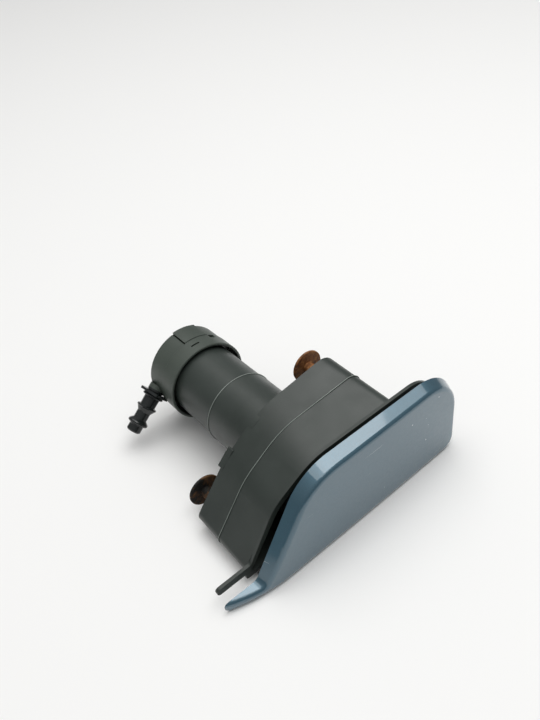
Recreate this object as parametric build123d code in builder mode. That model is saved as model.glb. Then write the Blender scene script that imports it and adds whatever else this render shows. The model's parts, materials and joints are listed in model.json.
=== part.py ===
from build123d import *
from math import cos, radians, sin
import os

# Telescoping washer jet with a painted cover. Millimetres, +Z up.
# The jet slides along Y: the cover looks along -Y, the hose end points to +Y.
# The origin is on the slide axis, in the plane of the housing's back face.
os.makedirs("parts", exist_ok=True)

# ---- Driving dimensions ----
RUN = 0.06                    # radial running clearance

HOUSING_DEPTH = 32.0          # back face to flange
HOUSING_WALL = 2.0
BACK_WALL = 4.0
LEDGE = 1.4                   # lip at the bottom of the tube's seat
SEAM_Y = -14.0                # mould parting line round the housing
FLANGE_THICK = 1.4
COVER_BACK_Y = -37.0
COVER_FACE_Y = -43.0
COVER_WALL = 2.2

TUBE_R = 16.7                 # cylinder, behind its parting line
TUBE_FRONT_R = 17.0           # cylinder, ahead of its parting line
TUBE_SEAM_Y = 22.0
TUBE_NOSE_R = 14.8            # cylinder, inside the housing
BORE_R = 13.2
TUBE_FRONT_Y = -16.0
TUBE_BACK_Y = 59.5

CAP_RIM_R = 19.5
CAP_BACK_R = 19.1
CAP_FRONT_Y = 46.6
CAP_BACK_Y = 66.6
CAP_STEP_Y = 55.5

ROD_R = 10.2                  # piston tube
ROD_BORE_R = 7.6
ROD_FRONT_Y = -25.0
ROD_BACK_Y = 55.0
PISTON_FRONT_Y = 47.0
BUSH_BACK_Y = -8.0

SCREW_NECK_R = 2.5
SCREW_TIP_R = 2.3
SCREW_END_Y = -8.6
SCREW_HEAD_Y = 7.6            # underside of the head, backed out of its seat
SCREW_HEAD_R = 7.4
SCREW_HEAD_THICK = 1.2
SCREW_DOME_R = 5.0
SCREW_DOME_THICK = 1.0
SCREW_POINTS = [(28.4, 14.6), (-32.3, -15.1)]
BOSS_R = 4.9
BOSS_LENGTH = 10.0

# Outlines are (x, z) corners with the fillet radius of each
HOUSING_BACK = [(36.5, 23.8), (-4, 17.9), (-24, 4.4), (-46, -21), (36.5, -21)]
HOUSING_BACK_R = [7.5, 40, 40, 3.8, 9]
HOUSING_FRONT = [(39, 16.4), (-5.7, 16.4), (-25, 5.6), (-44.8, -21.5), (39, -21.5)]
HOUSING_FRONT_R = [5, 26, 22, 3, 7]
FLANGE = [
    (61, 17.2), (-5.6, 17.2), (-25.7, 6.4), (-39.9, -15.2), (-56, -15.2), (-56, -18.6), (-43, -18.6),
    (-43, -21.8), (61, -21.8),
]
FLANGE_R = [15, 27, 22, 2, 1.65, 1.65, 0.8, 1, 7]
COVER = [(67, 20.2), (-14.4, 20.2), (-41, -19.8), (-56.3, -19.8), (-56.3, -25), (67, -25)]
COVER_R = [20, 24, 3, 1.8, 2.4, 7]
COVER_FACE = [(64.5, 17.4), (-14.1, 17.4), (-39.8, -21.2), (-55.6, -21.2), (-55.6, -24.7), (64.5, -24.7)]
COVER_FACE_R = [18, 22, 4, 1.2, 1.6, 6]
HOLLOW = [(65.2, 18.4), (-13.4, 18.4), (-40.9, -23.2), (65.2, -23.2)]
HOLLOW_R = [18, 22, 2, 5]
HOLLOW_FACE = [(62.8, 15.7), (-13.2, 15.7), (-39, -23), (62.8, -23)]
HOLLOW_FACE_R = [16, 20, 2, 4]
CARRIER = [(62, 17.2), (-13, 17.2), (-36.4, -17.6), (-39.3, -17.6), (-39.3, -22), (62, -22)]
CARRIER_R = [17, 21, 1, 1, 1.5, 6]
CARRIER_CORE = [(60, 13.5), (-11, 13.5), (-33.5, -20), (60, -20)]
CARRIER_CORE_R = [15, 18, 2, 5]

BARB_ROOT = (-18.6, 62.0, -1.6)
BARB_DIRECTION = (-18.9, -2.6, -12.8)
BARB_LENGTH = 23.0            # root to nose
BARB_NOSE_R = 3.4
BARB_COLLAR_R = 3.6
BARB_RIDGE_R = 4.8
BARB_BORE_R = 1.6
BARB_SPIGOT_R = 2.6
BARB_BOSS_R = 4.1

JET_LEFT_X = -15.6            # aimable jets, one each side of the slide axis
JET_RIGHT_X = 16.4
JET_Y = -27.5
JET_Z = -2.0
JET_R = 3.0
JET_LEAN = 55.0               # degrees above the rearward direction


# ---- Shared profiles ----
def moved_in(corners, wall):
    """Corners of an outline, listed anticlockwise, after each side moves in by a wall."""
    count = len(corners)
    moved = []
    for i, (x, z) in enumerate(corners):
        before = (Vector(x, z) - Vector(*corners[i - 1])).normalized()
        after = (Vector(*corners[(i + 1) % count]) - Vector(x, z)).normalized()
        inward = before.rotate(Axis.Z, 90) + after.rotate(Axis.Z, 90)
        reach = wall / (1 + before.dot(after))
        moved.append((x + inward.X * reach, z + inward.Y * reach))
    return moved


def upright(y):
    """Plane facing the front (-Y) at a given y; its own axes are x and z."""
    return Plane.XZ.offset(-y)


def slab(corners, radii, y, wall=0.0):
    """Filleted outline on the upright plane at y, moved in by a wall."""
    with BuildSketch(upright(y)) as flat:
        with BuildLine():
            FilletPolyline(*moved_in(corners, wall), radius=[r - wall for r in radii], close=True)
        make_face()
    return flat.sketch


def half_section(points):
    """Closed profile of (radius, y) points, to be turned about the Y axis."""
    with BuildSketch(Plane.XY) as section:
        with BuildLine():
            Polyline(points, close=True)
        make_face()
    return section.sketch


def ring_section(inner, outer, y_low, y_high):
    return half_section([(inner, y_low), (outer, y_low), (outer, y_high), (inner, y_high)])


def between(near, far, share):
    """Corners part of the way from one outline to another of as many corners."""
    return [(a[0] + (b[0] - a[0]) * share, a[1] + (b[1] - a[1]) * share) for a, b in zip(near, far)]


def blend(near, far, share):
    return [a + (b - a) * share for a, b in zip(near, far)]


# ---- Bracket housing ----
SEAM_SHARE = -SEAM_Y / HOUSING_DEPTH
seam_corners = between(HOUSING_BACK, HOUSING_FRONT, SEAM_SHARE)
seam_radii = blend(HOUSING_BACK_R, HOUSING_FRONT_R, SEAM_SHARE)

with BuildPart() as bezel_housing:
    loft([slab(HOUSING_BACK, HOUSING_BACK_R, 0), slab(HOUSING_FRONT, HOUSING_FRONT_R, -HOUSING_DEPTH)])
    # Fine raised line left by the mould
    extrude(slab(seam_corners, seam_radii, SEAM_Y, -0.18), amount=0.4)
    # Front flange with its tail
    with BuildSketch(upright(-HOUSING_DEPTH)):
        with BuildLine():
            FilletPolyline(*FLANGE, radius=FLANGE_R, close=True)
        make_face()
    extrude(amount=FLANGE_THICK)
    # Hollow from the front, leaving the back wall
    loft(
        [
            slab(HOUSING_BACK, HOUSING_BACK_R, -BACK_WALL, HOUSING_WALL),
            slab(HOUSING_FRONT, HOUSING_FRONT_R, -HOUSING_DEPTH - FLANGE_THICK, HOUSING_WALL),
        ],
        mode=Mode.SUBTRACT,
    )
    # Screw bosses
    with BuildSketch(upright(0)):
        with Locations(*SCREW_POINTS):
            Circle(BOSS_R)
    extrude(amount=BOSS_LENGTH)
    with BuildSketch(upright(0)):
        with Locations(*SCREW_POINTS):
            Circle(SCREW_NECK_R + 0.05)
    extrude(amount=BOSS_LENGTH - 1, mode=Mode.SUBTRACT)
    # Ribs that tie the bosses to the back wall
    with BuildSketch(upright(-BACK_WALL)):
        with Locations(Location((22, 11.3, 0), (0, 0, 27)), Location((-23, -10.8, 0), (0, 0, 25))):
            Rectangle(6, 2)
    extrude(amount=5)
    # Stepped seat for the cylinder
    revolve(
        half_section([
            (0, 1), (TUBE_FRONT_R + 0.1, 1), (TUBE_FRONT_R + 0.1, LEDGE - BACK_WALL),
            (TUBE_NOSE_R + 0.1, LEDGE - BACK_WALL), (TUBE_NOSE_R + 0.1, -14), (0, -14),
        ]),
        axis=Axis.Y,
        mode=Mode.SUBTRACT,
    )
    # Lock tab that stands on the rear edge
    with BuildSketch(Plane(origin=(-22.9, 1.6, 4.2), x_dir=(0.74, 0, 0.67), z_dir=(0, -1, 0))):
        RectangleRounded(9, 1.3, 0.3)
    extrude(amount=3.0)
bezel_housing.part.label = "bezel_housing"

# ---- Cylinder with its collars ----
with BuildPart() as cylinder:
    revolve(
        half_section([
            (BORE_R, TUBE_FRONT_Y), (TUBE_NOSE_R - 0.4, TUBE_FRONT_Y), (TUBE_NOSE_R, TUBE_FRONT_Y + 0.4),
            (TUBE_NOSE_R, LEDGE - BACK_WALL + 0.05), (TUBE_FRONT_R, LEDGE - BACK_WALL + 0.05),
            (TUBE_FRONT_R, TUBE_SEAM_Y - 0.2), (TUBE_FRONT_R + 0.15, TUBE_SEAM_Y - 0.1),
            (TUBE_FRONT_R + 0.15, TUBE_SEAM_Y + 0.1), (TUBE_R, TUBE_SEAM_Y + 0.3),
            (TUBE_R, 53.6), (18.0, 53.6), (18.0, 55.4), (TUBE_R, 55.4),
            (TUBE_R, TUBE_BACK_Y), (BORE_R, TUBE_BACK_Y),
        ]),
        axis=Axis.Y,
    )
    # Snap lugs that hold the housing's ledge from inside
    with BuildSketch(upright(-BACK_WALL - 0.05)):
        with PolarLocations(TUBE_NOSE_R + 0.3, 4, start_angle=-60, angular_range=120, endpoint=True):
            Rectangle(2.2, 5.0)
    extrude(amount=2.0)
cylinder.part.label = "cylinder"

# ---- End cap with its latch tongue ----
LATCH_ANGLES = (62, 98)       # sides of the tongue, from +X towards +Z
LATCH_MID = 89


def radial_plane(angle, y, radius):
    """Plane facing outward from the slide axis; its own x runs along +Y."""
    out = Vector(cos(radians(angle)), 0, sin(radians(angle)))
    return Plane(origin=out * radius + Vector(0, y, 0), x_dir=(0, 1, 0), z_dir=out)


# Its x runs forward, towards the cap's rim, and its y upward
barb_plane = Plane(origin=BARB_ROOT, x_dir=(0.15, -1, 0), z_dir=BARB_DIRECTION)
with BuildPart() as end_cap:
    revolve(
        half_section([
            (0, CAP_BACK_Y), (CAP_BACK_R - 1.2, CAP_BACK_Y), (CAP_BACK_R, CAP_BACK_Y - 1.2),
            (CAP_BACK_R + 0.1, CAP_STEP_Y), (CAP_RIM_R - 0.05, CAP_STEP_Y - 0.3),
            (CAP_RIM_R, CAP_FRONT_Y + 0.3), (CAP_RIM_R - 0.3, CAP_FRONT_Y), (18.5, CAP_FRONT_Y),
            (18.2, CAP_FRONT_Y + 0.3), (18.2, 55.6), (TUBE_R + 0.1, 55.6), (TUBE_R + 0.1, TUBE_BACK_Y + 0.2),
            (12.95, TUBE_BACK_Y + 0.2), (12.95, 58.9), (11.9, 58.9), (11.9, 57.0), (12.95, 57.0),
            (12.95, 55.9), (12.6, 55.5), (10.8, 55.5), (10.8, CAP_BACK_Y - 3.0), (0, CAP_BACK_Y - 3.0),
        ]),
        axis=Axis.Y,
    )
    # Latch tongue, a little proud of the cap, freed by a groove on each side
    with BuildSketch(upright(CAP_BACK_Y - 0.8)):
        Circle(CAP_BACK_R + 0.5)
        Circle(CAP_BACK_R - 0.6, mode=Mode.SUBTRACT)
        with BuildLine():
            sides = [(40 * cos(radians(angle)), 40 * sin(radians(angle))) for angle in LATCH_ANGLES]
            Polyline((0, 0), *sides, close=True)
        make_face(mode=Mode.INTERSECT)
    extrude(amount=CAP_BACK_Y - 0.8 - CAP_STEP_Y)
    for angle in LATCH_ANGLES:
        with BuildSketch(radial_plane(angle, (CAP_STEP_Y + CAP_BACK_Y) / 2, 17.8)):
            Rectangle(CAP_BACK_Y - CAP_STEP_Y + 1, 0.7)
        extrude(amount=3, mode=Mode.SUBTRACT)
    # Catch slot in front of the tongue and the notch beside it
    with BuildSketch(radial_plane(LATCH_MID, 51.2, 17.0)):
        Rectangle(0.9, 4.2)
    extrude(amount=4, mode=Mode.SUBTRACT)
    with BuildSketch(radial_plane(57, 54, 17.0)):
        Rectangle(2.4, 3.2)
    extrude(amount=4, mode=Mode.SUBTRACT)
    # Boss and stepped socket for the hose barb
    with BuildSketch(barb_plane.offset(-1.1)):
        Circle(BARB_BOSS_R)
    extrude(amount=2.1)
    # Flats on the cap's side for the barb's flange and its clip
    with BuildSketch(barb_plane.offset(1.0)):
        Circle(BARB_BOSS_R + 0.2)
    extrude(amount=3, mode=Mode.SUBTRACT)
    with BuildSketch(barb_plane.offset(2.25)):
        with Locations((0.6, 1.2)):
            Rectangle(12.6, 9.4)
    extrude(amount=3, mode=Mode.SUBTRACT)
    with BuildSketch(barb_plane.offset(-3.9)):
        Circle(BARB_SPIGOT_R + 0.1)
    extrude(amount=6, mode=Mode.SUBTRACT)
    with BuildSketch(barb_plane.offset(-9.5)):
        Circle(BARB_BORE_R)
    extrude(amount=6, mode=Mode.SUBTRACT)
end_cap.part.label = "end_cap"

# ---- Hose barb: spigot, flange and three ridges, turned about its own axis ----
barb_profile = [
    (BARB_BORE_R, -3.6), (BARB_SPIGOT_R - 0.2, -3.6), (BARB_SPIGOT_R, -3.4), (BARB_SPIGOT_R, -2.6),
    (2.1, -2.6), (2.1, -1.3), (BARB_SPIGOT_R, -1.3), (BARB_SPIGOT_R, 1.05), (BARB_BOSS_R, 1.05),
    (BARB_BOSS_R, 1.9), (BARB_COLLAR_R, 2.2), (BARB_COLLAR_R, 3.7), (BARB_RIDGE_R - 0.1, 3.9),
    (BARB_RIDGE_R + 0.2, 4.2), (BARB_RIDGE_R + 0.2, 4.6), (BARB_RIDGE_R - 0.1, 4.9),
    (BARB_COLLAR_R + 0.1, 5.2), (BARB_COLLAR_R, 9.4), (BARB_RIDGE_R - 0.3, 9.7), (BARB_RIDGE_R, 10.0),
    (BARB_RIDGE_R, 10.4), (BARB_RIDGE_R - 0.4, 10.8), (3.4, 12.4), (3.2, 12.8), (3.2, 16.4), (BARB_RIDGE_R - 0.3, 17.6),
    (BARB_RIDGE_R, 18.0), (BARB_RIDGE_R, 18.6), (BARB_RIDGE_R - 0.3, 19.0), (BARB_NOSE_R + 0.3, 19.4),
    (BARB_NOSE_R, 19.7), (BARB_NOSE_R, BARB_LENGTH - 0.6), (BARB_NOSE_R - 0.5, BARB_LENGTH),
    (BARB_BORE_R, BARB_LENGTH),
]
with BuildPart() as hose_barb:
    with BuildSketch(Plane(origin=BARB_ROOT, x_dir=barb_plane.x_dir, z_dir=-barb_plane.y_dir)):
        with BuildLine():
            Polyline(barb_profile, close=True)
        make_face()
    revolve(axis=Axis(BARB_ROOT, BARB_DIRECTION))
hose_barb.part.label = "hose_barb"

with BuildPart() as barb_o_ring:
    with BuildSketch(Plane(origin=BARB_ROOT, x_dir=barb_plane.x_dir, z_dir=-barb_plane.y_dir)):
        with Locations((2.4, -1.95)):
            Circle(0.27)
    revolve(axis=Axis(BARB_ROOT, BARB_DIRECTION))
barb_o_ring.part.label = "barb_o_ring"

# Spring clip that straddles the barb's collar and holds its flange to the boss
with BuildPart() as barb_clip:
    with BuildSketch(barb_plane.offset(2.3)):
        with BuildLine():
            corners = [(-5.4, -3.2), (6.6, -3.2), (6.6, 5.6), (-5.4, 5.6)]
            FilletPolyline(*corners, radius=[0.6, 0.6, 1.5, 2], close=True)
        make_face()
        with Locations((0, -4)):
            Rectangle(2 * BARB_COLLAR_R + 0.4, 8, mode=Mode.SUBTRACT)
        Circle(BARB_COLLAR_R + 0.2, mode=Mode.SUBTRACT)
    extrude(amount=1.2)
barb_clip.part.label = "barb_clip"

with BuildPart() as cap_o_ring:
    with BuildSketch(Plane.XY):
        with Locations((12.55, 57.95)):
            Circle(0.63)
    revolve(axis=Axis.Y)
cap_o_ring.part.label = "cap_o_ring"

# Lock ring that sits at the root of the gap between cap and tube
with BuildPart() as lock_ring:
    revolve(ring_section(TUBE_R + 0.05, 18.15, 51.9, 53.5), axis=Axis.Y)
lock_ring.part.label = "lock_ring"

# ---- Front guide bush and rod wiper ----
with BuildPart() as front_guide_bush:
    revolve(
        half_section([
            (ROD_R + RUN, BUSH_BACK_Y), (BORE_R - 0.05, BUSH_BACK_Y), (BORE_R - 0.05, TUBE_FRONT_Y - 0.05),
            (TUBE_NOSE_R - 0.1, TUBE_FRONT_Y - 0.05), (TUBE_NOSE_R - 0.1, -18.6), (12.3, -18.6),
            (12.3, -16.4), (ROD_R + RUN, -16.4),
        ]),
        axis=Axis.Y,
    )
front_guide_bush.part.label = "front_guide_bush"

with BuildPart() as rod_wiper:
    revolve(
        half_section([
            (ROD_R + 0.08, -19.4), (ROD_R + 0.6, -19.4), (11.3, -18.4), (12.2, -18.4), (12.2, -16.5),
            (10.9, -16.5), (ROD_R + 0.5, -17.6),
        ]),
        axis=Axis.Y,
    )
rod_wiper.part.label = "rod_wiper"

# ---- Piston, its seal and its tube ----
with BuildPart() as piston_tube:
    revolve(
        half_section([
            (ROD_BORE_R, ROD_FRONT_Y), (ROD_R - 0.5, ROD_FRONT_Y), (ROD_R, ROD_FRONT_Y + 0.5),
            (ROD_R, ROD_BACK_Y), (ROD_BORE_R, ROD_BACK_Y),
        ]),
        axis=Axis.Y,
    )
piston_tube.part.label = "piston_tube"

with BuildPart() as piston:
    revolve(
        half_section([
            (ROD_R + 0.02, PISTON_FRONT_Y), (12.5, PISTON_FRONT_Y), (12.5, 48.2), (11.8, 48.2), (11.8, 50.2),
            (12.5, 50.2), (12.5, 51.2), (11.1, 51.2), (11.1, 53.6), (12.5, 53.6), (12.5, ROD_BACK_Y),
            (ROD_R + 0.02, ROD_BACK_Y),
        ]),
        axis=Axis.Y,
    )
piston.part.label = "piston"

with BuildPart() as piston_guide_ring:
    revolve(ring_section(11.85, BORE_R - RUN, 48.25, 50.15), axis=Axis.Y)
    # Split that lets the ring open over the piston
    with BuildSketch(Plane.XY.offset(11)):
        with Locations((0, 49.2)):
            Rectangle(0.8, 3)
    extrude(amount=3, mode=Mode.SUBTRACT)
piston_guide_ring.part.label = "piston_guide_ring"

with BuildPart() as piston_seal:
    revolve(
        half_section([
            (11.15, 51.3), (12.5, 51.3), (13.1, 52.9), (BORE_R - RUN, 53.5), (12.6, 53.5), (12.1, 52.4),
            (11.7, 53.5), (11.15, 53.5),
        ]),
        axis=Axis.Y,
    )
piston_seal.part.label = "piston_seal"

# ---- Return spring, round the tube from the bush to the piston ----
SPRING_WIRE_R = 0.7
SPRING_R = 11.7
SPRING_LOW_Y = BUSH_BACK_Y + SPRING_WIRE_R + 0.1
SPRING_LENGTH = PISTON_FRONT_Y - BUSH_BACK_Y - 2 * SPRING_WIRE_R - 0.2
with BuildPart() as return_spring:
    with BuildLine() as coil:
        Helix(SPRING_LENGTH / 8, SPRING_LENGTH, SPRING_R, center=(0, SPRING_LOW_Y, 0), direction=(0, 1, 0))
    with BuildSketch(Plane(origin=coil.line @ 0, z_dir=coil.line % 0)):
        Circle(SPRING_WIRE_R)
    sweep(is_frenet=True)
return_spring.part.label = "return_spring"

# ---- Check valve in the rear of the piston tube ----
VALVE_SEAT_Y = 46.0
with BuildPart() as valve_cage:
    revolve(
        half_section([
            (5.4, VALVE_SEAT_Y + 1.2), (ROD_BORE_R - 0.02, VALVE_SEAT_Y + 1.2), (ROD_BORE_R - 0.02, 54.8),
            (4.6, 54.8), (4.6, 53.2), (5.4, 53.2),
        ]),
        axis=Axis.Y,
    )
valve_cage.part.label = "valve_cage"

with BuildPart() as valve_seat:
    revolve(ring_section(3.2, ROD_BORE_R - 0.02, VALVE_SEAT_Y - 0.6, VALVE_SEAT_Y + 1.15), axis=Axis.Y)
valve_seat.part.label = "valve_seat"

# Mushroom poppet: its disc closes on the front of the seat
with BuildPart() as valve_poppet:
    revolve(
        half_section([
            (0, 42.9), (4.6, 42.9), (5.0, 43.4), (5.0, VALVE_SEAT_Y - 0.9), (2.4, VALVE_SEAT_Y - 0.9),
            (1.6, VALVE_SEAT_Y - 0.1), (1.6, 52.4), (0, 52.4),
        ]),
        axis=Axis.Y,
    )
    with BuildSketch(Plane.XZ.offset(-49.6)):
        with PolarLocations(1.9, 3):
            Rectangle(1.8, 0.9)
    extrude(amount=-2.6)
valve_poppet.part.label = "valve_poppet"

VALVE_STOP_Y = 33.0
with BuildPart() as valve_spring:
    with BuildLine() as coil:
        Helix(1.8, 7.2, 3.6, center=(0, VALVE_STOP_Y + 2.0, 0), direction=(0, 1, 0))
    with BuildSketch(Plane(origin=coil.line @ 0, z_dir=coil.line % 0)):
        Circle(0.35)
    sweep(is_frenet=True)
valve_spring.part.label = "valve_spring"

# Spider that carries the valve spring inside the tube
with BuildPart() as spring_spider:
    revolve(ring_section(6.2, ROD_BORE_R - 0.02, VALVE_STOP_Y, VALVE_STOP_Y + 1.6), axis=Axis.Y)
    revolve(ring_section(2.2, 4.6, VALVE_STOP_Y, VALVE_STOP_Y + 1.6), axis=Axis.Y)
    with BuildSketch(Plane.XZ.offset(-VALVE_STOP_Y)):
        with PolarLocations(5.4, 3):
            Rectangle(2.4, 1.6)
    extrude(amount=-1.6)
spring_spider.part.label = "spring_spider"

# ---- Nozzle head and its jets ----
HEAD_BACK_Y = -20.2
HEAD_FRONT_Y = -34.5
jet_aim = Vector(0, cos(radians(JET_LEAN)), sin(radians(JET_LEAN)))
jet_centres = {"left": Vector(JET_LEFT_X, JET_Y, JET_Z), "right": Vector(JET_RIGHT_X, JET_Y, JET_Z)}


def jet_plane(side, along=0.0):
    """Plane across a jet, its normal along the stream; x stays along X."""
    return Plane(origin=jet_centres[side] + jet_aim * along, x_dir=(1, 0, 0), z_dir=jet_aim)


with BuildPart() as nozzle_head:
    # Socket over the tube
    revolve(ring_section(0, 13.4, HEAD_FRONT_Y, HEAD_BACK_Y), axis=Axis.Y)
    # Cross arm that carries the jets
    with BuildSketch(upright(HEAD_BACK_Y - 1.5)):
        with Locations((1, -3)):
            RectangleRounded(42, 15, 5)
    extrude(amount=HEAD_BACK_Y - 1.5 - HEAD_FRONT_Y)
    for side in ("left", "right"):
        with BuildSketch(jet_plane(side)):
            Circle(4.5)
        extrude(amount=4.4)
    # Bore for the tube, then the gallery to the jets
    socket = ring_section(0, ROD_R + 0.03, ROD_FRONT_Y - 0.05, HEAD_BACK_Y + 1)
    revolve(socket, axis=Axis.Y, mode=Mode.SUBTRACT)
    revolve(ring_section(0, 6.0, -30.5, HEAD_BACK_Y + 1), axis=Axis.Y, mode=Mode.SUBTRACT)
    with BuildSketch(Plane.YZ.offset(JET_LEFT_X)):
        with Locations((JET_Y, JET_Z)):
            Circle(1.3)
    extrude(amount=JET_RIGHT_X - JET_LEFT_X, mode=Mode.SUBTRACT)
    # Ball sockets, open along the stream
    for side in ("left", "right"):
        with BuildSketch(jet_plane(side)):
            Circle(JET_R + RUN)
        extrude(amount=6, mode=Mode.SUBTRACT)
        with Locations(Location(jet_centres[side])):
            Sphere(JET_R + RUN, mode=Mode.SUBTRACT)
        with BuildSketch(jet_plane(side, 2.6)):
            Circle(3.9)
        extrude(amount=4, mode=Mode.SUBTRACT)
    # Groove for the head seal
    revolve(ring_section(ROD_R, 11.3, -23.6, -21.9), axis=Axis.Y, mode=Mode.SUBTRACT)
nozzle_head.part.label = "nozzle_head"

with BuildPart() as head_seal:
    revolve(ring_section(ROD_R + 0.03, 11.25, -23.55, -21.95), axis=Axis.Y)
head_seal.part.label = "head_seal"

jets = {}
retainers = {}
for side in ("left", "right"):
    with BuildPart() as jet:
        with Locations(Location(jet_centres[side])):
            Sphere(JET_R)
        with BuildSketch(jet_plane(side, 2.4)):
            Circle(1.6)
        extrude(amount=2.2)
        # Orifice
        with BuildSketch(jet_plane(side, 1.0)):
            Circle(0.5)
        extrude(amount=5, mode=Mode.SUBTRACT)
        with BuildSketch(jet_plane(side, 4.0)):
            Rectangle(2.4, 0.5)
        extrude(amount=1, mode=Mode.SUBTRACT)
    jet.part.label = "jet_ball_" + side
    jets[side] = jet
    with BuildPart() as retainer:
        with BuildSketch(jet_plane(side, 2.65)):
            Circle(3.88)
            Circle(2.5, mode=Mode.SUBTRACT)
        extrude(amount=1.7)
        with Locations(Location(jet_centres[side])):
            Sphere(JET_R + RUN, mode=Mode.SUBTRACT)
    retainer.part.label = "jet_retainer_" + side
    retainers[side] = retainer

# ---- Cover carrier: black frame between the head and the painted cover ----
CARRIER_BACK_Y = -35.8
with BuildPart() as cover_carrier:
    extrude(slab(CARRIER, CARRIER_R, CARRIER_BACK_Y), amount=CARRIER_BACK_Y - COVER_BACK_Y)
    extrude(slab(CARRIER_CORE, CARRIER_CORE_R, COVER_BACK_Y), amount=2.6)
    # Weight-saving windows outboard of the head
    with BuildSketch(upright(CARRIER_BACK_Y)):
        with Locations((43, -3)):
            RectangleRounded(20, 22, 4)
    extrude(amount=6, mode=Mode.SUBTRACT)
    # Pads that sit on the nozzle head
    with BuildSketch(upright(HEAD_FRONT_Y)):
        with Locations((-14, -3), (16, -3), (0, 9), (0, -9)):
            RectangleRounded(7, 5, 1)
    extrude(amount=HEAD_FRONT_Y - CARRIER_BACK_Y)
cover_carrier.part.label = "cover_carrier"

# ---- Painted cover: drafted tray whose tail sweeps back ----
SWEEP_R = 74.0                # plan radius of the tail's sweep
SWEEP_X = -28.0               # where the sweep starts
SWEEP_ANGLE = radians(28)
COVER_EDGE_R = 2.2            # soft edge between the sides and the face
COVER_CROWN = 1.0             # how far the face falls back at its tall end


def plan_block(inward):
    """Plan of everything behind the cover's face, moved in by a wall."""
    face = COVER_FACE_Y + inward
    radius = SWEEP_R - inward
    arc = [
        (SWEEP_X - radius * sin(SWEEP_ANGLE * share), face + radius * (1 - cos(SWEEP_ANGLE * share)))
        for share in (0, 0.5, 1)
    ]
    with BuildSketch(Plane.XY) as plan:
        with BuildLine():
            ThreePointArc(*arc)
            crown = TangentArc(arc[0], (COVER[0][0] + 3, face + COVER_CROWN), tangent=(1, 0))
            Polyline(arc[2], (arc[2][0], -20), (crown @ 1 + (0, 20)), crown @ 1)
        make_face()
    return plan.sketch


with BuildPart() as cover_hollow:
    loft([slab(HOLLOW, HOLLOW_R, COVER_BACK_Y + 0.01), slab(HOLLOW_FACE, HOLLOW_FACE_R, COVER_FACE_Y)])
    extrude(plan_block(COVER_WALL), amount=60, both=True, mode=Mode.INTERSECT)

with BuildPart() as painted_cover:
    loft([slab(COVER, COVER_R, COVER_BACK_Y), slab(COVER_FACE, COVER_FACE_R, COVER_FACE_Y - 0.5)])
    extrude(plan_block(0), amount=60, both=True, mode=Mode.INTERSECT)
    fillet(painted_cover.faces().sort_by(Axis.Y)[0].edges(), COVER_EDGE_R)
    add(cover_hollow.part, mode=Mode.SUBTRACT)
painted_cover.part.label = "painted_cover"

# ---- Mounting screws, backed out of their bosses ----
head_top = SCREW_HEAD_Y + SCREW_HEAD_THICK
dome_top = head_top + SCREW_DOME_THICK
screws = {}
for name, (x, z) in zip(("upper", "lower"), SCREW_POINTS):
    with BuildPart() as screw:
        # Plain neck behind the housing, thinner inside the boss
        with BuildSketch(upright(SCREW_HEAD_Y)):
            with Locations((x, z)):
                Circle(SCREW_NECK_R)
        extrude(amount=SCREW_HEAD_Y)
        with BuildSketch(upright(0)):
            with Locations((x, z)):
                Circle(SCREW_TIP_R)
        extrude(amount=-SCREW_END_Y)
        # Wide flat head, then its low dome with a cross recess
        with BuildSketch(upright(SCREW_HEAD_Y)):
            with Locations((x, z)):
                Circle(SCREW_HEAD_R)
        extrude(amount=-SCREW_HEAD_THICK)
        fillet(screw.edges().filter_by(GeomType.CIRCLE).filter_by(lambda e: e.radius > 7), 0.4)
        with BuildSketch(upright(head_top)):
            with Locations((x, z)):
                Circle(SCREW_DOME_R)
        extrude(amount=-SCREW_DOME_THICK)
        fillet(screw.faces().sort_by(Axis.Y)[-1].edges(), 0.8)
        with BuildSketch(upright(dome_top)):
            with Locations((x, z)):
                Rectangle(5.2, 1.2)
                Rectangle(1.2, 5.2)
        extrude(amount=1.8, mode=Mode.SUBTRACT)
    screw.part.label = "mounting_screw_" + name
    screws[name] = screw

pieces = [
    bezel_housing, cylinder, end_cap, hose_barb, barb_o_ring, barb_clip, cap_o_ring, lock_ring,
    front_guide_bush, rod_wiper, piston_tube, piston, piston_guide_ring, piston_seal, return_spring,
    valve_cage, valve_seat, valve_poppet, valve_spring, spring_spider, nozzle_head, head_seal,
    cover_carrier, painted_cover, *jets.values(), *retainers.values(), *screws.values(),
]
for piece in pieces:
    export_step(piece.part, f"parts/{piece.part.label}.step")
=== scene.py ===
import json

import bmesh
import bpy
from mathutils import Matrix, Vector


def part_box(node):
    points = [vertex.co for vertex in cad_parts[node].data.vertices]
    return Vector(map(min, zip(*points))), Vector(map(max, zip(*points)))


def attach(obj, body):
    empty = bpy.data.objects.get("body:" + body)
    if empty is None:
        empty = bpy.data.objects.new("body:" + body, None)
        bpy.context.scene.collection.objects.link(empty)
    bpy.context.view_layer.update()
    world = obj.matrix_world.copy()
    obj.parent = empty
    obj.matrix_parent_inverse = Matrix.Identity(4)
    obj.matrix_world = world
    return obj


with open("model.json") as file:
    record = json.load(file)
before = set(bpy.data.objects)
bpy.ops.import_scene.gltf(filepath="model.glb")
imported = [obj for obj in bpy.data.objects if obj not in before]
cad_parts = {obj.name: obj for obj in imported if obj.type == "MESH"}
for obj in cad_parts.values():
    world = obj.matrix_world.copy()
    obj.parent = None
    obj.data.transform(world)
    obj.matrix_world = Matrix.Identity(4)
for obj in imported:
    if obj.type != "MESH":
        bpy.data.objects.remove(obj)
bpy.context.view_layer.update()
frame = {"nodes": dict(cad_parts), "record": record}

# Telescoping headlamp washer jet. Metres, in the CAD frame: the jet slides along Y,
# the painted cover faces -Y, the hose barb is at the +Y end, +Z is up.
NODES = frame["nodes"]
SLOT_OF = {row["node"]: row["material_slot"] for row in frame["record"]["subparts"]}
MM = 0.001


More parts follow.
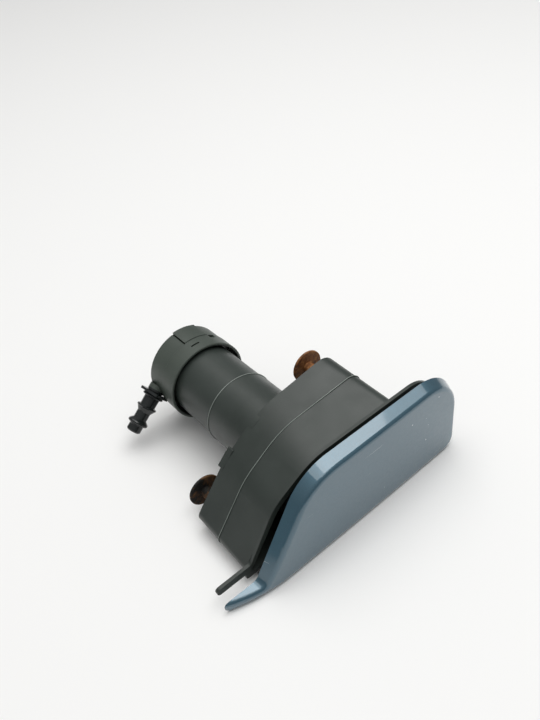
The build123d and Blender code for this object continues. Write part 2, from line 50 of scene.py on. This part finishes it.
# ---------------------------------------------------------------- camera
FOCAL_MM = 34.0
SENSOR_MM = 36.0
NEAREST = 0.01
CAMERA_AT = Vector((-0.10074, -0.16384, 0.20998))
LOOK = Vector((0.40738, 0.63100, -0.66021))
UP = Vector((0.49052, 0.45860, 0.74099))


def add_camera():
    """Camera at the viewing place, rolled so that the object lies diagonally."""
    data = bpy.data.cameras.new("camera")
    data.lens = FOCAL_MM
    data.sensor_width = SENSOR_MM
    data.clip_start = NEAREST
    camera = bpy.data.objects.new("camera", data)
    bpy.context.scene.collection.objects.link(camera)
    back = -LOOK.normalized()
    right = UP.cross(back).normalized()
    up = back.cross(right)
    turn = Matrix((right, up, back)).transposed()
    camera.matrix_world = Matrix.Translation(CAMERA_AT) @ turn.to_4x4()
    bpy.context.scene.camera = camera


# ---------------------------------------------------------------- studio
FLOOR_HALF = 3.0                      # the floor is a square, 6 m wide
FLOOR_COLOUR = (0.86, 0.86, 0.855, 1)
SKY_LOW, SKY_HIGH = -0.1, 0.9         # heights on the sky between which it brightens
SKY_HORIZON = (0.30, 0.31, 0.32, 1)
SKY_TOP = (1.0, 1.0, 1.0, 1)
SKY_STRENGTH = 0.468


def add_floor():
    """Large pale floor at the object's lowest point."""
    low = min(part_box(name)[0].z for name in NODES)
    half = FLOOR_HALF
    mesh = bpy.data.meshes.new("floor")
    mesh.from_pydata(
        [(-half, -half, low), (half, -half, low), (half, half, low), (-half, half, low)],
        [], [(0, 1, 2, 3)])
    floor = bpy.data.objects.new("floor", mesh)
    bpy.context.scene.collection.objects.link(floor)
    paper = bpy.data.materials.new("floor_paper")
    paper.use_nodes = True
    shader = paper.node_tree.nodes["Principled BSDF"]
    shader.inputs["Base Color"].default_value = FLOOR_COLOUR
    shader.inputs["Roughness"].default_value = 0.75
    shader.inputs["Specular IOR Level"].default_value = 0.25
    mesh.materials.append(paper)


def add_sky():
    """Sky that is white overhead and darkens towards the horizon."""
    world = bpy.data.worlds.new("studio")
    bpy.context.scene.world = world
    world.use_nodes = True
    nodes, links = world.node_tree.nodes, world.node_tree.links
    split = nodes.new("ShaderNodeSeparateXYZ")
    links.new(nodes.new("ShaderNodeTexCoord").outputs["Generated"], split.inputs["Vector"])
    height = nodes.new("ShaderNodeMapRange")
    height.inputs["From Min"].default_value = SKY_LOW
    height.inputs["From Max"].default_value = SKY_HIGH
    links.new(split.outputs["Z"], height.inputs["Value"])
    sky = nodes.new("ShaderNodeValToRGB")
    sky.color_ramp.elements[0].color = SKY_HORIZON
    sky.color_ramp.elements[1].color = SKY_TOP
    links.new(height.outputs["Result"], sky.inputs["Fac"])
    links.new(sky.outputs["Color"], nodes["Background"].inputs["Color"])
    nodes["Background"].inputs["Strength"].default_value = SKY_STRENGTH


def add_softbox(name, at, side, power, tint):
    """Square area light that looks at the origin."""
    data = bpy.data.lights.new(name, "AREA")
    data.shape = "RECTANGLE"
    data.size = side
    data.size_y = side
    data.energy = power
    data.color = tint
    light = bpy.data.objects.new(name, data)
    bpy.context.scene.collection.objects.link(light)
    light.location = at
    light.rotation_euler = (-Vector(at)).to_track_quat("-Z", "Y").to_euler()


def add_studio():
    """Pale floor, one wide ceiling softbox, a small near one, and the sky."""
    add_floor()
    add_sky()
    add_softbox("ceiling_softbox", at=(0.25, 0.15, 1.9), side=2.4, power=30.6, tint=(1, 0.995, 0.98))
    add_softbox("near_softbox", at=(0.22, -0.05, 0.75), side=0.45, power=1.36, tint=(1, 1, 1))
    bpy.context.scene.view_settings.view_transform = "Standard"
    bpy.context.scene.view_settings.look = "None"


# ---------------------------------------------------------------- materials
BLACK = (0, 0, 0)
WHITE = (1, 1, 1)


class Nodes:
    """Small helper that wires one material's nodes together."""

    def __init__(self, name):
        self.material = bpy.data.materials.new(name)
        self.material.use_nodes = True
        self.tree = self.material.node_tree
        self.shader = self.tree.nodes["Principled BSDF"]
        self.place = self.tree.nodes.new("ShaderNodeTexCoord").outputs["Object"]

    def link(self, source, target):
        self.tree.links.new(source, target)

    def noise(self, per_metre, detail=4.0, rough=0.55, stretch=None):
        """Cloudy noise, finer with more per metre; a stretch draws it out along an axis."""
        node = self.tree.nodes.new("ShaderNodeTexNoise")
        node.inputs["Scale"].default_value = per_metre
        node.inputs["Detail"].default_value = detail
        node.inputs["Roughness"].default_value = rough
        place = self.place
        if stretch:
            mapping = self.tree.nodes.new("ShaderNodeMapping")
            mapping.inputs["Scale"].default_value = stretch
            self.link(place, mapping.inputs["Vector"])
            place = mapping.outputs["Vector"]
        self.link(place, node.inputs["Vector"])
        return node.outputs["Fac"]

    def cells(self, per_metre):
        """Distance to the nearest of many scattered points."""
        node = self.tree.nodes.new("ShaderNodeTexVoronoi")
        node.inputs["Scale"].default_value = per_metre
        self.link(self.place, node.inputs["Vector"])
        return node.outputs["Distance"]

    def ramp(self, factor, stops):
        node = self.tree.nodes.new("ShaderNodeValToRGB")
        while len(node.color_ramp.elements) < len(stops):
            node.color_ramp.elements.new(0.5)
        for element, (position, colour) in zip(node.color_ramp.elements, stops):
            element.position = position
            element.color = (*colour, 1)
        self.link(factor, node.inputs["Fac"])
        return node.outputs["Color"]

    def grey(self, factor, low, high, start=0.0, end=1.0):
        return self.ramp(factor, [(start, (low,) * 3), (end, (high,) * 3)])

    def mix(self, factor, a, b):
        node = self.tree.nodes.new("ShaderNodeMix")
        node.data_type = "RGBA"
        self.link(factor, node.inputs["Factor"])
        self.link(a, node.inputs["A"])
        self.link(b, node.inputs["B"])
        return node.outputs["Result"]

    def colour(self, source):
        self.link(source, self.shader.inputs["Base Color"])

    def roughness(self, factor, smooth, rough):
        """Roughness that follows a noise, whose values lie mostly between 0.3 and 0.7."""
        self.link(self.grey(factor, smooth, rough, 0.3, 0.7), self.shader.inputs["Roughness"])

    def bump(self, height, strength, distance):
        node = self.tree.nodes.new("ShaderNodeBump")
        node.inputs["Strength"].default_value = strength
        node.inputs["Distance"].default_value = distance
        self.link(height, node.inputs["Height"])
        self.link(node.outputs["Normal"], self.shader.inputs["Normal"])

    def set(self, **values):
        for key, value in values.items():
            self.shader.inputs[key.replace("_", " ")].default_value = value


def moulded(name, base, pale, smooth, rough):
    """Moulded plastic: fine sparked grain, cloudy handling marks and dust in patches."""
    m = Nodes(name)
    cloud = m.ramp(m.noise(38, 5), [(0.35, base), (0.72, pale)])
    dust = m.ramp(m.noise(900, 3), [(0.0, BLACK), (0.66, BLACK), (0.8, (0.35, 0.35, 0.35))])
    speck = tuple(min(1.0, c * 1.9 + 0.01) for c in pale)
    speckled = m.ramp(m.noise(260, 2), [(0.4, pale), (0.7, speck)])
    m.colour(m.mix(dust, cloud, speckled))
    m.roughness(m.noise(120, 4), smooth, rough)
    m.bump(m.noise(2600, 3), 0.12, 0.00012)
    m.set(IOR=1.49)
    return m.material


def glossy_plastic(name, base):
    """Glossy moulded plastic with faint unevenness."""
    m = Nodes(name)
    pale = tuple(c * 1.7 for c in base)
    m.colour(m.ramp(m.noise(300, 3), [(0.3, base), (0.8, pale)]))
    m.link(m.grey(m.noise(420, 4), 0.12, 0.3, 0.35, 0.7), m.shader.inputs["Roughness"])
    m.bump(m.noise(700, 2), 0.12, 0.0002)
    m.set(IOR=1.52)
    return m.material


def body_paint():
    """Metallic blue-grey paint under a clear coat, with fine scratches and a few stone chips."""
    m = Nodes("body_paint")
    flake = m.noise(9000, 2)
    tone = m.ramp(flake, [(0.3, (0.018, 0.072, 0.108)), (0.7, (0.038, 0.112, 0.160))])
    chips = m.ramp(m.cells(240), [(0.0, WHITE), (0.055, WHITE), (0.07, BLACK)])
    patches = m.ramp(m.noise(75, 1), [(0.54, BLACK), (0.58, WHITE)])
    chips_in_patches = m.mix(chips, m.ramp(flake, [(0.0, BLACK), (1.0, BLACK)]), patches)
    streaks = m.noise(90, 2, 0.5, (0.35, 1.0, 14.0))
    scratches = m.ramp(streaks, [(0.0, BLACK), (0.735, BLACK), (0.75, (0.5, 0.5, 0.5))])
    pale = m.ramp(m.noise(500, 2), [(0.3, (0.50, 0.56, 0.58)), (0.7, (0.68, 0.72, 0.73))])
    m.colour(m.mix(scratches, m.mix(chips_in_patches, tone, pale), pale))
    m.roughness(m.noise(700, 4), 0.30, 0.40)
    m.bump(m.noise(1400, 2), 0.015, 0.0002)
    m.set(Metallic=0.45, Coat_Weight=1.0, Coat_Roughness=0.05, Coat_IOR=1.7)
    return m.material


def corroded(name, dark, rust, bright, amount):
    """Steel eaten by rust: pitted crust over what is left of the plating."""
    m = Nodes(name)
    crust = m.noise(520, 8, 0.7)
    rusty = m.ramp(crust, [(0.3, dark), (0.5, rust), (0.72, bright)])
    patch = m.ramp(m.noise(210, 6, 0.65), [(amount, WHITE), (amount + 0.12, BLACK)])
    plated = m.ramp(m.noise(800, 3), [(0.3, tuple(c * 0.5 for c in dark)), (0.7, dark)])
    m.colour(m.mix(patch, plated, rusty))
    m.roughness(crust, 0.45, 0.9)
    m.bump(m.noise(1500, 8, 0.7), 0.5, 0.0005)
    m.set(Metallic=0.35)
    return m.material


def natural_plastic():
    """Off-white acetal of the inner parts."""
    m = Nodes("white_plastic")
    m.colour(m.ramp(m.noise(60, 4), [(0.3, (0.62, 0.61, 0.56)), (0.7, (0.74, 0.73, 0.69))]))
    m.roughness(m.noise(300, 4), 0.28, 0.42)
    m.bump(m.noise(1800, 2), 0.05, 0.0002)
    m.set(Subsurface_Weight=0.06)
    return m.material


def rubber():
    """Dull black rubber of the seals."""
    m = Nodes("rubber")
    m.colour(m.ramp(m.noise(400, 4), [(0.3, (0.012, 0.012, 0.013)), (0.75, (0.035, 0.035, 0.036))]))
    m.link(m.grey(m.noise(260, 3), 0.45, 0.7, 0.3, 0.7), m.shader.inputs["Roughness"])
    m.bump(m.noise(2400, 3), 0.15, 0.0001)
    return m.material


def metal(name, dark, light, smooth, rough):
    """Clean metal of the springs and the jets."""
    m = Nodes(name)
    m.colour(m.ramp(m.noise(500, 5, 0.6), [(0.3, dark), (0.7, light)]))
    m.roughness(m.noise(900, 4, 0.6), smooth, rough)
    m.bump(m.noise(2000, 3, 0.6), 0.08, 0.0002)
    m.set(Metallic=1.0)
    return m.material


def make_materials():
    """One material for each slot of the record, and one for the mould flash, whose pale colour is a
    painted highlight.
    """
    looks = {
        "body_paint": body_paint(),
        "gloss_black": glossy_plastic("gloss_black", (0.008, 0.010, 0.010)),
        "white_plastic": natural_plastic(),
        "rubber": rubber(),
    }
    for slot, base, pale, smooth, rough in [
            ("housing_plastic", (0.024, 0.031, 0.027), (0.036, 0.045, 0.040), 0.34, 0.46),
            ("cap_plastic", (0.045, 0.057, 0.047), (0.064, 0.078, 0.066), 0.36, 0.5),
            # pale flash colour: a painted highlight along the parting-line beads, standing in for
            # light catching their edges
            ("flash_painted_highlight", (0.16, 0.19, 0.17), (0.30, 0.33, 0.31), 0.4, 0.5),
            ("black_plastic", (0.006, 0.007, 0.007), (0.012, 0.013, 0.013), 0.4, 0.6)]:
        looks[slot] = moulded(slot, base, pale, smooth, rough)
    for slot, dark, light, smooth, rough in [
            ("spring_steel", (0.38, 0.38, 0.37), (0.56, 0.56, 0.55), 0.2, 0.38),
            ("jet_brass", (0.55, 0.38, 0.14), (0.72, 0.54, 0.24), 0.22, 0.4)]:
        looks[slot] = metal(slot, dark, light, smooth, rough)
    for slot, dark, rust, bright, amount in [
            ("rusty_screw", (0.045, 0.022, 0.012), (0.22, 0.085, 0.025), (0.5, 0.27, 0.11), 0.66),
            ("dark_screw", (0.012, 0.011, 0.009), (0.10, 0.045, 0.015), (0.24, 0.13, 0.05), 0.42)]:
        looks[slot] = corroded(slot, dark, rust, bright, amount)
    return looks


def paint_nodes(materials):
    """Give each CAD node the material of its slot."""
    for name, node in NODES.items():
        look = materials[SLOT_OF[name]]
        if not node.data.materials:
            node.data.materials.append(look)
        for index in range(len(node.data.materials)):
            node.data.materials[index] = look


# ---------------------------------------------------------------- mould flash
FLASH_R = 0.16 * MM                   # radius of the bead
RING_GAP = 4 * MM                     # a ring whose ends are nearer than this is closed
WELD = 1e-6                           # vertices nearer than this are one
FLASH_LINES = [                       # bead, CAD node, y of the parting line
    ("housing_flash_line", "bezel_housing", -14.2 * MM),
    ("cylinder_flash_line", "cylinder", 22.0 * MM),
]


def width(ring):
    return max(point.x for point in ring) - min(point.x for point in ring)


def section_ring(name, y):
    """Points round the outside of a CAD node where an upright plane cuts it."""
    mesh = bmesh.new()
    mesh.from_mesh(NODES[name].data)
    bmesh.ops.remove_doubles(mesh, verts=mesh.verts, dist=WELD)
    cut = bmesh.ops.bisect_plane(
        mesh, geom=mesh.verts[:] + mesh.edges[:] + mesh.faces[:],
        plane_co=(0, y, 0), plane_no=(0, 1, 0), clear_inner=True, clear_outer=True)
    left = dict.fromkeys(edge for edge in cut["geom_cut"] if isinstance(edge, bmesh.types.BMEdge))
    rings = []
    while left:
        edge = next(iter(left))
        del left[edge]
        first, last = edge.verts
        ring = [first, last]
        onward = next((e for e in last.link_edges if e in left), None)
        while onward is not None:
            del left[onward]
            last = onward.other_vert(last)
            ring.append(last)
            onward = next((e for e in last.link_edges if e in left), None)
        rings.append([vertex.co.copy() for vertex in ring])
    mesh.free()
    return max(rings, key=width)


def add_flash(title, node, y, look):
    """Thin raised bead of mould flash that runs round a node at one y."""
    ring = section_ring(node, y)
    curve = bpy.data.curves.new(title, "CURVE")
    curve.dimensions = "3D"
    curve.bevel_depth = FLASH_R
    curve.bevel_resolution = 2
    spline = curve.splines.new("POLY")
    spline.points.add(len(ring) - 1)
    for point, place in zip(spline.points, ring):
        point.co = (*place, 1)
    spline.use_cyclic_u = (ring[0] - ring[-1]).length < RING_GAP
    curve.materials.append(look)
    bead = bpy.data.objects.new(title, curve)
    bpy.context.scene.collection.objects.link(bead)
    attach(bead, "housing")


add_camera()
add_studio()
MATERIALS = make_materials()
paint_nodes(MATERIALS)
# the flash beads get the pale material, a painted highlight along the parting lines
for title, node, y in FLASH_LINES:
    add_flash(title, node, y, MATERIALS["flash_painted_highlight"])
